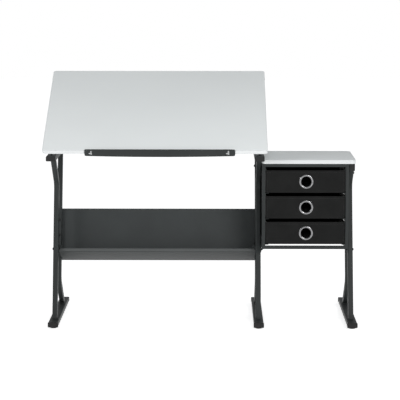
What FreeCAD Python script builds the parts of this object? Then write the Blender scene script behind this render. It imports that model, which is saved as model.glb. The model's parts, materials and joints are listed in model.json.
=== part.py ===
import FreeCAD, Part
import math
import os

# Drafting table with a tilting drawing board, a fixed side top and three fabric drawers.
# Millimetres, +Z up, +X to the user's right, +Y to the back.
# It is drawn with X = 0 at the board's left edge, Y = 0 at the board's front top edge and Z = 0 on
# the floor, then moved so that the origin is the centre of the footprint on the floor.

# Drawing board, drawn flat and then tilted
BOARD_W = 914.0
BOARD_D = 610.0
BOARD_T = 16.0
BOARD_CORNER_R = 12.0
BAND_T = 1.0
FRONT_EDGE_Z = 744.0
REST_TILT = 28.0
MIN_TILT = 0.0
MAX_TILT = 35.0

# Tilt hinge and props
HINGE_SETBACK = 28.0
HINGE_DROP = 12.0
EAR_R = 8.5
EAR_T = 2.5
PIN_R = 3.0
RUNNING_GAP = 0.05
PROP_R = 240.0
PROP_BAR_W = 16.0
PROP_BAR_T = 3.0
ROD_R = 4.0
KNOB_R = 11.0
KNOB_T = 12.0
KNOB_LOBES = 5
LEAF_W = 17.0
LEAF_REACH = 44.0
LEAF_TAIL = 8.0
LEAF_SCREWS = (20.0, 36.0)
TONGUE_W = 10.0
HINGE_EAR_X = 7.0
HINGE_BASE_W = 30.0
PAD_W = 26.0
PAD_D = 12.0
ARM_OFFSET = 5.5
REST_PAD_Y = 541.0
CROSSBAR_Y = 536.0

# End frames: left, middle and right
LEFT_X = 32.5
MID_X = 882.0
RIGHT_X = 1267.5
TUBE_W = 40.0
TUBE_H = 20.0
TUBE_WALL = 1.5
TOP_TUBE_Z = 696.5
TOP_TUBE_Y = (31.0, 553.0)
FOOT_Z = 6.5
FOOT_Y = (34.0, 554.0)
RIGHT_TUBE_W = 21.0
RIGHT_TUBE_H = 30.0
RIGHT_TUBE_Z = 645.0
RIGHT_TUBE_Y = (138.0, 468.0)
CAP_T = 4.0
PLUG_L = 12.0

# Bent legs, one profile used upright at the front and turned half round at the back
LEG_W = 21.0
LEG_DEPTH = 28.0
LEG_WALL = 1.3
LEG_LEAN = 15.5
ARM_LEAN = 48.8
LEG_BEND_R = 50.0
LEG_CORNER_R = 4.5
LEG_LOW_RUN = 700.0
LEG_HIGH_RUN = 260.0
LEG_FOOT_Y = 122.5
LEG_TOP_Y = 135.2
LEG_TURN_Y = 292.0

# Levelling feet
LEVELER_R = 14.5
LEVELER_H = 5.0
LEVELER_STEM_R = 4.0
LEVELER_INSET = 22.0
LEVELER_COLLAR_R = 7.0
LEVELER_STEM_L = 15.0

# Folded sheet book trough
SHEET_T = 1.5
TROUGH_VERTEX_Z = 231.0
TROUGH_TOP_Z = 445.0
TROUGH_BACK_X = (22.0, 892.0)
TROUGH_FRONT_X = (46.0, 868.5)
TROUGH_LIP_Y = 231.0
TROUGH_LIP_Z = (289.0, 303.0)
TROUGH_BOLT_Z = (340.0, 403.0)
TROUGH_EAR_Z = 306.0
TROUGH_EAR_T = 2.0

# Side top and drawer cage
SIDE_X = (893.5, 1282.0)
SIDE_Y = (130.0, 460.0)
SIDE_Z = 675.0
SIDE_CORNER_R = 18.0
CAGE_X = (895.0, 1254.5)
CAGE_Y = (133.0, 453.0)
CAGE_Z = (318.0, 675.0)
BAR = 13.0
BAR_WALL = 1.2
TAB_T = 2.5
TAB_W = 24.0
TAB_HOLE_Z = (306.0, 628.0)
RUNNER_T = 1.5
RUNNER_W = 15.0
RUNNER_FIN = 13.9

# Drawers
DRAWER_COUNT = 3
DRAWER_PITCH = 107.75
DRAWER_TOP_BOTTOM_Z = 554.0
DRAWER_X = (910.0, 1240.0)
DRAWER_Y = (136.0, 444.0)
DRAWER_H = 93.0
FABRIC_T = 3.0
BASE_BOARD_T = 2.5
GROMMET_R = 29.5
GROMMET_HOLE_R = 21.5
GROMMET_OFFSET = 3.0

# Pencil ledge on the board's front edge
LEDGE_L = 610.0
LEDGE_X = 172.0
LEDGE_T = 2.0
LEDGE_GAP = 0.6
LEDGE_ABOVE = 7.2
LEDGE_BELOW = 24.8
LEDGE_BOW = 4.5
LEDGE_DROP = 10.0
LEDGE_SCREW_DROP = 20.0
LEDGE_SLOT_INSET = 27.0
SLOT_W = 6.0
LEDGE_SCREW_R = 2.0

# Fasteners
BOLT_R = 3.0
BOLT_HEAD_R = 6.0
BOLT_HEAD_T = 4.0
NUT_R = 5.8
NUT_T = 5.0
SCREW_R = 2.0
SCREW_HEAD_R = 4.0

TILT = math.radians(REST_TILT)
LEAN = math.radians(LEG_LEAN)
ARM = math.radians(ARM_LEAN)
TOP_TUBE_TOP = TOP_TUBE_Z + TUBE_H
FOOT_TOP = FOOT_Z + TUBE_H
X_AXIS = FreeCAD.Vector(1, 0, 0)
Y_AXIS = FreeCAD.Vector(0, 1, 0)
Z_AXIS = FreeCAD.Vector(0, 0, 1)


def vec(x, y, z):
    return FreeCAD.Vector(x, y, z)


def board_point(x, depth, height):
    """A point given along the board, from its front edge, and above its surface."""
    y = depth * math.cos(TILT) - height * math.sin(TILT)
    z = FRONT_EDGE_Z + depth * math.sin(TILT) + height * math.cos(TILT)
    return vec(x, y, z)


HINGE = board_point(0, HINGE_SETBACK, -BOARD_T - HINGE_DROP)
PROP_TOP = board_point(0, HINGE_SETBACK + PROP_R, -BOARD_T - HINGE_DROP)
HINGE_BOLT_Y = HINGE.y + 24.0
PROP_END = vec(0, HINGE.y + 2 * PROP_R * math.cos(TILT), HINGE.z)


def tilted(shape):
    """Turn a shape drawn flat, with the board's surface at Z = 0, into the resting tilt."""
    copy = shape.copy()
    copy.rotate(vec(0, 0, 0), X_AXIS, REST_TILT)
    copy.translate(vec(0, 0, FRONT_EDGE_Z))
    return copy


def block(x, y, z):
    return Part.makeBox(x[1] - x[0], y[1] - y[0], z[1] - z[0], vec(x[0], y[0], z[0]))


def rod(start, axis, radius, length):
    return Part.makeCylinder(radius, length, start, axis)


def span(centre, width):
    return (centre - width / 2, centre + width / 2)


def inset(limits, amount):
    return (limits[0] + amount, limits[1] - amount)


def group(shapes):
    return Part.makeCompound(shapes)


def cut_all(shape, tools):
    for tool in tools:
        shape = shape.cut(tool)
    return shape


def rounded_slab(x, y, z, radius):
    """A flat slab with its four upright corners rounded."""
    slab = block(x, y, z)
    corners = [e for e in slab.Edges if abs(e.tangentAt(e.FirstParameter).z) > 0.99]
    return slab.makeFillet(radius, corners)


def rounded_bar(x, y, z, radius):
    """A bar along Y with its four long corners rounded."""
    bar = block(x, y, z)
    corners = [e for e in bar.Edges if abs(e.tangentAt(e.FirstParameter).y) > 0.99]
    return bar.makeFillet(radius, corners)


def hollow_bar(x, y, z, wall, radius):
    outer = rounded_bar(x, y, z, radius)
    inner = rounded_bar(inset(x, wall), y, inset(z, wall), radius - wall * 0.7)
    return outer.cut(inner)


def hex_prism(centre, axis, radius, length):
    """A nut or bolt head; radius is from the centre to a corner."""
    side = Z_AXIS if abs(axis.z) < 0.5 else X_AXIS
    across = axis.cross(side)
    points = []
    for index in range(7):
        angle = math.radians(60 * index)
        points.append(centre + side * (radius * math.cos(angle)) + across * (radius * math.sin(angle)))
    return Part.Face(Part.makePolygon(points)).extrude(axis * length)


def bolt(head_seat, axis, length, head_r=BOLT_HEAD_R, head_t=BOLT_HEAD_T, radius=BOLT_R):
    """A bolt whose head sits at head_seat and whose shank runs along axis."""
    head = hex_prism(head_seat - axis * head_t, axis, head_r, head_t)
    return head.fuse(rod(head_seat, axis, radius, length))


def button_screw(seat, axis, length):
    """A small domed screw whose shank runs along axis from its seat."""
    dome = Part.makeSphere(SCREW_HEAD_R * 1.25)
    dome = dome.common(block((-9, 9), (-9, 9), (SCREW_HEAD_R * 0.75, 9)))
    dome.translate(vec(0, 0, -SCREW_HEAD_R * 0.75))
    screw = dome.fuse(Part.makeCylinder(SCREW_R, length, vec(0, 0, -length)))
    turn = FreeCAD.Rotation(vec(0, 0, -1), axis)
    screw.Placement = FreeCAD.Placement(seat, turn)
    return screw


# ---------------------------------------------------------------- end frames

def leg_path_points():
    """The front leg's bend point and the two ends of its centre line, in Y and Z."""
    slope_low = math.tan(LEAN)
    slope_high = math.tan(ARM)
    bend_z = (LEG_TOP_Y + TOP_TUBE_Z * slope_high - LEG_FOOT_Y + FOOT_TOP * slope_low)
    bend_z = bend_z / (slope_low + slope_high)
    bend_y = LEG_FOOT_Y + (bend_z - FOOT_TOP) * slope_low
    low = (bend_y - LEG_LOW_RUN * math.sin(LEAN), bend_z - LEG_LOW_RUN * math.cos(LEAN))
    high = (bend_y - LEG_HIGH_RUN * math.sin(ARM), bend_z + LEG_HIGH_RUN * math.cos(ARM))
    return low, (bend_y, bend_z), high


def leg_path(x):
    low, bend, high = leg_path_points()
    setback = LEG_BEND_R * math.tan((LEAN + ARM) / 2)
    start = vec(x, low[0], low[1])
    end = vec(x, high[0], high[1])
    corner = vec(x, bend[0], bend[1])
    arc_start = corner + (start - corner).normalize() * setback
    arc_end = corner + (end - corner).normalize() * setback
    inward = ((start - corner).normalize() + (end - corner).normalize()).normalize()
    centre = corner + inward * (LEG_BEND_R / math.cos((LEAN + ARM) / 2))
    arc_middle = centre - inward * LEG_BEND_R
    edges = [
        Part.LineSegment(start, arc_start).toShape(),
        Part.Arc(arc_start, arc_middle, arc_end).toShape(),
        Part.LineSegment(arc_end, end).toShape(),
    ]
    return Part.Wire(edges)


def leg_section(x, width, depth, radius):
    """A rounded rectangle square to the start of the leg's centre line."""
    slab = rounded_slab(span(0, width), span(0, depth), (0, 1), radius)
    wire = [f for f in slab.Faces if abs(f.CenterOfMass.z) < 1e-6][0].OuterWire
    low = leg_path_points()[0]
    turn = FreeCAD.Rotation(X_AXIS, -LEG_LEAN)
    wire.Placement = FreeCAD.Placement(vec(x, low[0], low[1]), turn)
    return wire


def leg_tube(x):
    path = leg_path(x)
    outer = path.makePipeShell([leg_section(x, LEG_W, LEG_DEPTH, LEG_CORNER_R)], True, False)
    inner_w = LEG_W - 2 * LEG_WALL
    inner_d = LEG_DEPTH - 2 * LEG_WALL
    inner = path.makePipeShell([leg_section(x, inner_w, inner_d, LEG_CORNER_R - LEG_WALL)], True, False)
    return outer.cut(inner)


def leg_top_z(x):
    return RIGHT_TUBE_Z if x == RIGHT_X else TOP_TUBE_Z


def leg_blank(x, rear):
    """A leg tube trimmed flat between the foot tube and the top tube."""
    tube = leg_tube(x)
    if rear:
        middle = (TOP_TUBE_Z + FOOT_TOP) / 2
        tube.rotate(vec(x, LEG_TURN_Y, middle), X_AXIS, 180)
    return tube.common(block((x - 50, x + 50), (-200, 900), (FOOT_TOP, leg_top_z(x))))


def leg_centre_y(z, rear):
    """Where a leg's centre line is at height z."""
    if rear:
        mirrored = TOP_TUBE_Z + FOOT_TOP - z
        return 2 * LEG_TURN_Y - leg_centre_y(mirrored, False)
    bend = leg_path_points()[1]
    if z > bend[1]:
        return bend[0] - (z - bend[1]) * math.tan(ARM)
    return bend[0] + (z - bend[1]) * math.tan(LEAN)


def leg_holes(x, rear):
    """Clearance holes for the cage bolts and the trough bolts."""
    tools = []
    if x in (MID_X, RIGHT_X):
        for z in TAB_HOLE_Z:
            if z < leg_top_z(x):
                start = vec(x - LEG_W, leg_centre_y(z, rear), z)
                tools.append(rod(start, X_AXIS, BOLT_R + 0.1, 2 * LEG_W))
    if x in (LEFT_X, MID_X) and rear:
        for z in TROUGH_BOLT_Z:
            start = vec(x, leg_centre_y(z, True) - LEG_DEPTH, z)
            tools.append(rod(start, Y_AXIS, BOLT_R + 0.1, 2 * LEG_DEPTH))
    if x == LEFT_X and not rear:
        start = vec(x - LEG_W, leg_centre_y(TROUGH_EAR_Z, False), TROUGH_EAR_Z)
        tools.append(rod(start, X_AXIS, BOLT_R + 0.1, 2 * LEG_W))
    return tools


def leg(x, rear):
    return cut_all(leg_blank(x, rear), leg_holes(x, rear))


def top_tube(x):
    tube = hollow_bar(span(x, TUBE_W), TOP_TUBE_Y, (TOP_TUBE_Z, TOP_TUBE_TOP), TUBE_WALL, 3.0)
    hole = rod(vec(x, HINGE_BOLT_Y, TOP_TUBE_TOP - 5), Z_AXIS, BOLT_R + 0.1, 10)
    return tube.cut(hole)


def right_top_tube():
    z = (RIGHT_TUBE_Z, RIGHT_TUBE_Z + RIGHT_TUBE_H)
    tube = hollow_bar(span(RIGHT_X, RIGHT_TUBE_W), RIGHT_TUBE_Y, z, TUBE_WALL, 3.0)
    return cut_all(tube, [side_screw_hole(p) for p in side_screw_points()])


def foot_tube(x):
    z = (FOOT_Z, FOOT_TOP)
    tube = hollow_bar(span(x, TUBE_W), FOOT_Y, z, TUBE_WALL, 3.0)
    holes = []
    for y in inset(FOOT_Y, LEVELER_INSET):
        holes.append(rod(vec(x, y, 0), Z_AXIS, LEVELER_STEM_R + RUNNING_GAP, FOOT_Z + 4))
    return cut_all(tube, holes)


def end_cap(x, y_face, outward, width, z, plug_wall):
    """A moulded cap with a plug that fills the tube's mouth."""
    head_y = sorted((y_face, y_face + outward * CAP_T))
    plug_y = sorted((y_face, y_face - outward * PLUG_L))
    head = rounded_bar(span(x, width), head_y, z, 3.5)
    rim = [e for e in head.Edges if abs(e.CenterOfMass.y - (y_face + outward * CAP_T)) < 1e-6]
    head = head.makeFillet(1.2, rim)
    reach = plug_wall + (width - TUBE_W) / 2 + 0.1
    plug = rounded_bar(inset(span(x, width), reach), plug_y, inset(z, plug_wall + 0.6), 3.0)
    return head.fuse(plug)


def foot_end_caps():
    caps = []
    for x in (LEFT_X, MID_X, RIGHT_X):
        for y, outward in zip(FOOT_Y, (-1, 1)):
            caps.append(end_cap(x, y, outward, TUBE_W + 3, (FOOT_Z - 0.5, FOOT_TOP + 0.5), TUBE_WALL))
    return group(caps)


def top_tube_end_caps():
    caps = []
    for x in (LEFT_X, MID_X):
        for y, outward in zip(TOP_TUBE_Y, (-1, 1)):
            caps.append(end_cap(x, y, outward, TUBE_W, (TOP_TUBE_Z, TOP_TUBE_TOP), TUBE_WALL))
    for y, outward in zip(RIGHT_TUBE_Y, (-1, 1)):
        z = (RIGHT_TUBE_Z, RIGHT_TUBE_Z + RIGHT_TUBE_H)
        head_y = sorted((y, y + outward * CAP_T))
        plug_y = sorted((y, y - outward * PLUG_L))
        head = rounded_bar(span(RIGHT_X, RIGHT_TUBE_W), head_y, z, 3.0)
        plug = rounded_bar(span(RIGHT_X, RIGHT_TUBE_W - 3.4), plug_y, inset(z, 1.7), 3.0)
        caps.append(head.fuse(plug))
    return group(caps)


def rear_crossbar():
    """The tube that ties the left and middle frames together at the back."""
    x = (LEFT_X + TUBE_W / 2, MID_X - TUBE_W / 2)
    y = (CROSSBAR_Y - 15.0, CROSSBAR_Y + 15.0)
    z = (TOP_TUBE_Z, TOP_TUBE_TOP)
    return block(x, y, z).cut(block(x, inset(y, TUBE_WALL), inset(z, TUBE_WALL)))


def leveler(x, y):
    """A screw-in foot with a moulded pad."""
    pad = Part.makeCylinder(LEVELER_R, LEVELER_H, vec(x, y, 0))
    pad = pad.makeFillet(1.0, [e for e in pad.Edges if len(e.Vertexes) == 1])
    collar = rod(vec(x, y, LEVELER_H - 1), Z_AXIS, LEVELER_COLLAR_R, FOOT_Z - LEVELER_H + 0.5)
    stem = rod(vec(x, y, LEVELER_H), Z_AXIS, LEVELER_STEM_R, LEVELER_STEM_L)
    return pad.fuse(collar).fuse(stem)


# ---------------------------------------------------------------- drawing board

def ledge_screw_points():
    """Where the ledge's two screws enter the board's front edge, in flat board coordinates."""
    height = LEDGE_ABOVE - LEDGE_SCREW_DROP
    return [vec(x, 0, height) for x in (LEDGE_X + LEDGE_SLOT_INSET, LEDGE_X + LEDGE_L - LEDGE_SLOT_INSET)]


def ledge_screw_holes():
    return [rod(p - Y_AXIS * 5, Y_AXIS, LEDGE_SCREW_R + 0.02, 23) for p in ledge_screw_points()]


def board_core_flat():
    """The laminated board without its edge band."""
    x = inset((0, BOARD_W), BAND_T)
    y = inset((0, BOARD_D), BAND_T)
    return rounded_slab(x, y, (-BOARD_T, 0), BOARD_CORNER_R - BAND_T)


def main_top():
    tools = ledge_screw_holes()
    for x, y in board_screw_places():
        tools.append(rod(vec(x, y, -BOARD_T - 1), Z_AXIS, SCREW_R + 0.02, 11.1))
    return tilted(cut_all(board_core_flat(), tools))


def main_top_edge_band():
    outer = rounded_slab((0, BOARD_W), (0, BOARD_D), (-BOARD_T, 0), BOARD_CORNER_R)
    return tilted(cut_all(outer.cut(board_core_flat()), ledge_screw_holes()))


def bracket_places():
    """Middle X and board depth of each bracket under the board, and which way its leaf runs."""
    prop_depth = HINGE_SETBACK + PROP_R
    return [
        (LEFT_X, HINGE_SETBACK, 1),
        (MID_X, HINGE_SETBACK, 1),
        (LEFT_X + ARM_OFFSET, prop_depth, -1),
        (MID_X - ARM_OFFSET, prop_depth, -1),
    ]


def board_screw_places():
    """Screws that hold the brackets, two beside each one's pivot."""
    places = []
    for x, depth, way in bracket_places():
        places += [(x, depth + way * reach) for reach in LEAF_SCREWS]
    return places


def bracket_plate(x, depth, way):
    """The bracket's flat leaf, against the underside of the board."""
    y_limits = sorted((depth - way * LEAF_TAIL, depth + way * LEAF_REACH))
    leaf = rounded_slab(span(x, LEAF_W), y_limits, (-BOARD_T - EAR_T, -BOARD_T), 3.0)
    for reach in LEAF_SCREWS:
        leaf = leaf.cut(rod(vec(x, depth + way * reach, -BOARD_T - 5), Z_AXIS, SCREW_R + 0.02, 6))
    return leaf


def ear_flat(x, depth, drop):
    """A round-ended ear that hangs from the board to a pivot."""
    ear = block(x, span(depth, 2 * EAR_R), (-BOARD_T - drop, -BOARD_T - EAR_T))
    ear = ear.fuse(rod(vec(x[0], depth, -BOARD_T - drop), X_AXIS, EAR_R, x[1] - x[0]))
    return ear.cut(rod(vec(x[0] - 1, depth, -BOARD_T - drop), X_AXIS, PIN_R, x[1] - x[0] + 2))


def board_hinge_leaves():
    leaves = []
    for x, depth, way in bracket_places()[:2]:
        tongue = ear_flat(span(x, TONGUE_W), depth, HINGE_DROP)
        leaves.append(tilted(bracket_plate(x, depth, way).fuse(tongue)))
    return group(leaves)


def prop_brackets():
    brackets = []
    for x, depth, way in bracket_places()[2:]:
        body = bracket_plate(x, depth, way)
        for side in (-1, 1):
            centre = x + side * (PROP_BAR_T / 2 + 1.0 + EAR_T / 2)
            body = body.fuse(ear_flat(span(centre, EAR_T), depth, HINGE_DROP))
        brackets.append(tilted(body))
    return group(brackets)


def headed_pin(x, half_grip, y, z):
    """A pin along X with a domed head at each end."""
    pin = rod(vec(x - half_grip, y, z), X_AXIS, PIN_R, 2 * half_grip)
    for side in (-1, 1):
        start = vec(x + side * half_grip, y, z)
        head = Part.makeCone(PIN_R + 2.0, PIN_R + 0.5, 2.0, start, X_AXIS * side)
        pin = pin.fuse(head)
    return pin


def pivot_pins():
    pins = [headed_pin(x, 11.0, HINGE.y, HINGE.z) for x in (LEFT_X, MID_X)]
    for x in (LEFT_X + ARM_OFFSET, MID_X - ARM_OFFSET):
        pins.append(headed_pin(x, 5.0, PROP_TOP.y, PROP_TOP.z))
    return group(pins)


def board_screws():
    screws = []
    for x, y in board_screw_places():
        screws.append(tilted(button_screw(vec(x, y, -BOARD_T - EAR_T), Z_AXIS, 11.0)))
    return group(screws)


def ledge_screws():
    screws = []
    for point in ledge_screw_points():
        seat = point - Y_AXIS * (LEDGE_GAP + LEDGE_T + 0.4)
        screws.append(tilted(button_screw(seat, Y_AXIS, 18.0)))
    return group(screws)


def ledge_outline():
    """The ledge's front view: straight on top, gently bowed below, with rounded ends."""
    left = LEDGE_X
    right = LEDGE_X + LEDGE_L
    middle = (left + right) / 2
    top = LEDGE_ABOVE
    low = -LEDGE_BELOW
    r = 6.0
    k = r * (1 - math.cos(math.pi / 4))
    edges = [
        Part.LineSegment(vec(left + r, 0, top), vec(right - r, 0, top)).toShape(),
        Part.Arc(vec(right - r, 0, top), vec(right - k, 0, top - k), vec(right, 0, top - r)).toShape(),
        Part.LineSegment(vec(right, 0, top - r), vec(right, 0, low + r)).toShape(),
        Part.Arc(vec(right, 0, low + r), vec(right - k, 0, low + k), vec(right - r, 0, low)).toShape(),
        Part.Arc(vec(right - r, 0, low), vec(middle, 0, low - LEDGE_BOW), vec(left + r, 0, low)).toShape(),
        Part.Arc(vec(left + r, 0, low), vec(left + k, 0, low + k), vec(left, 0, low + r)).toShape(),
        Part.LineSegment(vec(left, 0, low + r), vec(left, 0, top - r)).toShape(),
        Part.Arc(vec(left, 0, top - r), vec(left + k, 0, top - k), vec(left + r, 0, top)).toShape(),
    ]
    return Part.Face(Part.Wire(edges))


def ledge_slot(point):
    """A J-shaped slot: an upright leg with a short hook to the left at its foot."""
    half = SLOT_W / 2
    deep = (-LEDGE_T - LEDGE_GAP - 1, 0)
    upright = block((point.x - half, point.x + half), deep, (point.z, point.z + LEDGE_DROP))
    hook = block((point.x - 8.0, point.x), deep, (point.z - half, point.z + half))
    slot = upright.fuse(hook)
    for x, z in ((point.x, point.z + LEDGE_DROP), (point.x, point.z), (point.x - 8.0, point.z)):
        slot = slot.fuse(rod(vec(x, deep[0], z), Y_AXIS, half, deep[1] - deep[0]))
    return slot


def pencil_ledge():
    plate = ledge_outline().extrude(vec(0, -LEDGE_T, 0))
    plate.translate(vec(0, -LEDGE_GAP, 0))
    return tilted(cut_all(plate, [ledge_slot(p) for p in ledge_screw_points()]))


# ---------------------------------------------------------------- tilt support

def hinge_bracket(x):
    """Base and two ears bolted on the top tube; the board's tongue turns between the ears."""
    z = (TOP_TUBE_TOP, TOP_TUBE_TOP + EAR_T)
    base = rounded_slab(span(x, HINGE_BASE_W), (HINGE.y - 10, HINGE_BOLT_Y + 12), z, 3.0)
    base = base.cut(rod(vec(x, HINGE_BOLT_Y, z[0] - 1), Z_AXIS, BOLT_R + 0.02, 6))
    for side in (-1, 1):
        ear_x = sorted((x + side * HINGE_EAR_X, x + side * (HINGE_EAR_X + EAR_T)))
        ear = block(ear_x, span(HINGE.y, 2 * EAR_R), (z[0] + 1, HINGE.z))
        ear = ear.fuse(rod(vec(ear_x[0], HINGE.y, HINGE.z), X_AXIS, EAR_R, EAR_T))
        ear = ear.cut(rod(vec(ear_x[0] - 1, HINGE.y, HINGE.z), X_AXIS, PIN_R + RUNNING_GAP, 5))
        base = base.fuse(ear)
    return base


def hinge_brackets():
    return group([hinge_bracket(x) for x in (LEFT_X, MID_X)])


def slot_rail(x, inboard):
    """An angle on the top tube whose upright web guides the prop's lower end along a level slot."""
    y_low = HINGE.y + 2 * PROP_R * math.cos(math.radians(MAX_TILT))
    y_high = HINGE.y + 2 * PROP_R * math.cos(math.radians(MIN_TILT))
    y = (y_low - 12, y_high + 12)
    base = block(sorted((x - inboard * 16.0, x)), y, (TOP_TUBE_TOP, TOP_TUBE_TOP + EAR_T))
    web = block(sorted((x, x + inboard * EAR_T)), y, (TOP_TUBE_TOP, HINGE.z + 9.0))
    half = ROD_R + 0.1
    slot = block((x - 5, x + 5), (y_low, y_high), (HINGE.z - half, HINGE.z + half))
    for end in (y_low, y_high):
        slot = slot.fuse(rod(vec(x - 5, end, HINGE.z), X_AXIS, half, 10))
    return base.fuse(web).cut(slot)


def prop_slide_rails():
    return group([slot_rail(LEFT_X, 1), slot_rail(MID_X, -1)])


def rest_pads():
    """Rubber blocks that carry the board when it lies flat."""
    pads = []
    top = HINGE.z + HINGE_DROP - 0.3
    for x in (LEFT_X, MID_X):
        pads.append(rounded_slab(span(x, PAD_W), span(REST_PAD_Y, PAD_D), (TOP_TUBE_TOP, top), 3.0))
    return group(pads)


def prop_arm(x, inboard):
    """A flat bar from the board's bracket to the slot."""
    centre = x + inboard * ARM_OFFSET
    limits = span(centre, PROP_BAR_T)
    start = vec(limits[0], PROP_TOP.y, PROP_TOP.z)
    end = vec(limits[0], PROP_END.y, PROP_END.z)
    bar = block(limits, (0, PROP_R), (-PROP_BAR_W / 2, PROP_BAR_W / 2))
    bar.rotate(vec(0, 0, 0), X_AXIS, -REST_TILT)
    bar.translate(vec(0, PROP_TOP.y, PROP_TOP.z))
    for point in (start, end):
        bar = bar.fuse(rod(point, X_AXIS, PROP_BAR_W / 2, PROP_BAR_T))
    bar = bar.cut(rod(start - X_AXIS, X_AXIS, PIN_R + RUNNING_GAP, PROP_BAR_T + 2))
    return bar.cut(rod(end - X_AXIS, X_AXIS, ROD_R, PROP_BAR_T + 2))


def prop_cross_rod():
    """The rod that joins the two props, with a shoulder ring against each arm."""
    start = vec(LEFT_X - 12.0, PROP_END.y, PROP_END.z)
    bar = rod(start, X_AXIS, ROD_R, MID_X - LEFT_X + 24.0)
    for x in (LEFT_X + EAR_T + 0.4, LEFT_X + ARM_OFFSET + PROP_BAR_T / 2):
        bar = bar.fuse(rod(vec(x, PROP_END.y, PROP_END.z), X_AXIS, ROD_R + 2.5, 1.0))
    for x in (MID_X - EAR_T - 0.4, MID_X - ARM_OFFSET - PROP_BAR_T / 2):
        bar = bar.fuse(rod(vec(x, PROP_END.y, PROP_END.z), X_AXIS * -1, ROD_R + 2.5, 1.0))
    return bar


def clamp_knob(x, inboard):
    """A five-lobed knob on the threaded end of the cross rod."""
    start = vec(x - inboard * 1.0, PROP_END.y, PROP_END.z)
    outward = X_AXIS * -inboard
    body = rod(start, outward, KNOB_R - 2.5, KNOB_T)
    for index in range(KNOB_LOBES):
        angle = math.radians(360 / KNOB_LOBES * index + 18)
        offset = vec(0, math.cos(angle), math.sin(angle)) * (KNOB_R - 3.5)
        body = body.fuse(rod(start + offset, outward, 3.5, KNOB_T - 2))
    return body.cut(rod(start - outward, outward, ROD_R + RUNNING_GAP, KNOB_T + 2))


# ---------------------------------------------------------------- book trough

def rear_face_y(z):
    """Y of the rear leg's back face at height z."""
    return leg_centre_y(z, True) + LEG_DEPTH / 2 / math.cos(LEAN)


def sheet_panel(points, x):
    """A folded sheet drawn as a closed outline in Y and Z, stretched between two X values."""
    loop = [vec(x[0], p[0], p[1]) for p in points]
    loop.append(loop[0])
    return Part.Face(Part.makePolygon(loop)).extrude(vec(x[1] - x[0], 0, 0))


def book_trough():
    gap = 0.3
    lean_t = SHEET_T / math.cos(LEAN)
    vertex_y = rear_face_y(TROUGH_VERTEX_Z) + gap
    top_y = rear_face_y(TROUGH_TOP_Z) + gap
    rise = (TROUGH_LIP_Z[0] - TROUGH_VERTEX_Z) / (vertex_y - TROUGH_LIP_Y)
    drop = SHEET_T * math.hypot(1, rise)
    back = [
        (vertex_y, TROUGH_VERTEX_Z),
        (top_y, TROUGH_TOP_Z),
        (top_y + 10, TROUGH_TOP_Z),
        (top_y + 10, TROUGH_TOP_Z - SHEET_T),
        (top_y + lean_t, TROUGH_TOP_Z - SHEET_T),
        (vertex_y + lean_t, TROUGH_VERTEX_Z),
    ]
    front = [
        (vertex_y + lean_t, TROUGH_VERTEX_Z),
        (vertex_y, TROUGH_VERTEX_Z),
        (TROUGH_LIP_Y, TROUGH_LIP_Z[0]),
        (TROUGH_LIP_Y, TROUGH_LIP_Z[1]),
        (TROUGH_LIP_Y - SHEET_T, TROUGH_LIP_Z[1]),
        (TROUGH_LIP_Y - SHEET_T, TROUGH_LIP_Z[0] - SHEET_T / 2),
        (vertex_y, TROUGH_VERTEX_Z - drop),
        (vertex_y + lean_t, TROUGH_VERTEX_Z - drop / 2),
    ]
    sheet = sheet_panel(back, TROUGH_BACK_X).fuse(sheet_panel(front, TROUGH_FRONT_X))
    holes = []
    for x in (LEFT_X, MID_X):
        for z in TROUGH_BOLT_Z:
            holes.append(rod(vec(x, rear_face_y(z) - 8, z), Y_AXIS, BOLT_R + 0.02, 20))
    return cut_all(sheet, holes).removeSplitter()


def trough_ear(x, inboard):
    """The end plate that ties the trough's lip to the inner side of a front leg."""
    limits = sorted((x + inboard * (LEG_W / 2), x + inboard * (LEG_W / 2 + TROUGH_EAR_T)))
    leg_y = leg_centre_y(TROUGH_EAR_Z, False)
    z = (TROUGH_LIP_Z[0] + 3, TROUGH_EAR_Z + 11)
    plate = block(limits, (leg_y - 11, TROUGH_LIP_Y + 12), z)
    turn_in = block(sorted((x + inboard * 9.0, x + inboard * 24.0)), (TROUGH_LIP_Y, TROUGH_LIP_Y + 2), z)
    hole = rod(vec(limits[0] - 1, leg_y, TROUGH_EAR_Z), X_AXIS, BOLT_R + 0.02, 4)
    return plate.fuse(turn_in).cut(hole)


def trough_ears():
    return group([trough_ear(LEFT_X, 1), trough_ear(MID_X, -1)])


def trough_bolts():
    """Bolts through the rear legs and the trough's ends, and one through each front leg."""
    bolts = []
    for x in (LEFT_X, MID_X):
        for z in TROUGH_BOLT_Z:
            seat_y = leg_centre_y(z, True) - LEG_DEPTH / 2 / math.cos(LEAN) - 1.8
            bolts.append(bolt(vec(x, seat_y, z), Y_AXIS, 42.0))
            nut = hex_prism(vec(x, rear_face_y(z) + 4.0, z), Y_AXIS, NUT_R, NUT_T)
            bolts[-1] = bolts[-1].fuse(nut)
    y = leg_centre_y(TROUGH_EAR_Z, False)
    outer = bolt(vec(LEFT_X - LEG_W / 2, y, TROUGH_EAR_Z), X_AXIS, 27.0)
    nut_at = vec(LEFT_X + LEG_W / 2 + TROUGH_EAR_T, y, TROUGH_EAR_Z)
    bolts.append(outer.fuse(hex_prism(nut_at, X_AXIS, NUT_R, NUT_T)))
    return group(bolts)


# ---------------------------------------------------------------- side top and cage

def side_screw_points():
    """Screws that hold the side top, two in each cage side rail and two in the right top tube."""
    points = []
    for x in (CAGE_X[0] + BAR / 2, CAGE_X[1] - BAR / 2):
        points += [(x, y, CAGE_Z[1] - BAR) for y in inset(SIDE_Y, 70.0)]
    points += [(RIGHT_X, y, RIGHT_TUBE_Z) for y in inset(SIDE_Y, 110.0)]
    return points


def side_screw_hole(point):
    x, y, z = point
    return rod(vec(x, y, z - 1), Z_AXIS, SCREW_R + 0.1, SIDE_Z - z + 10.2)


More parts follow.
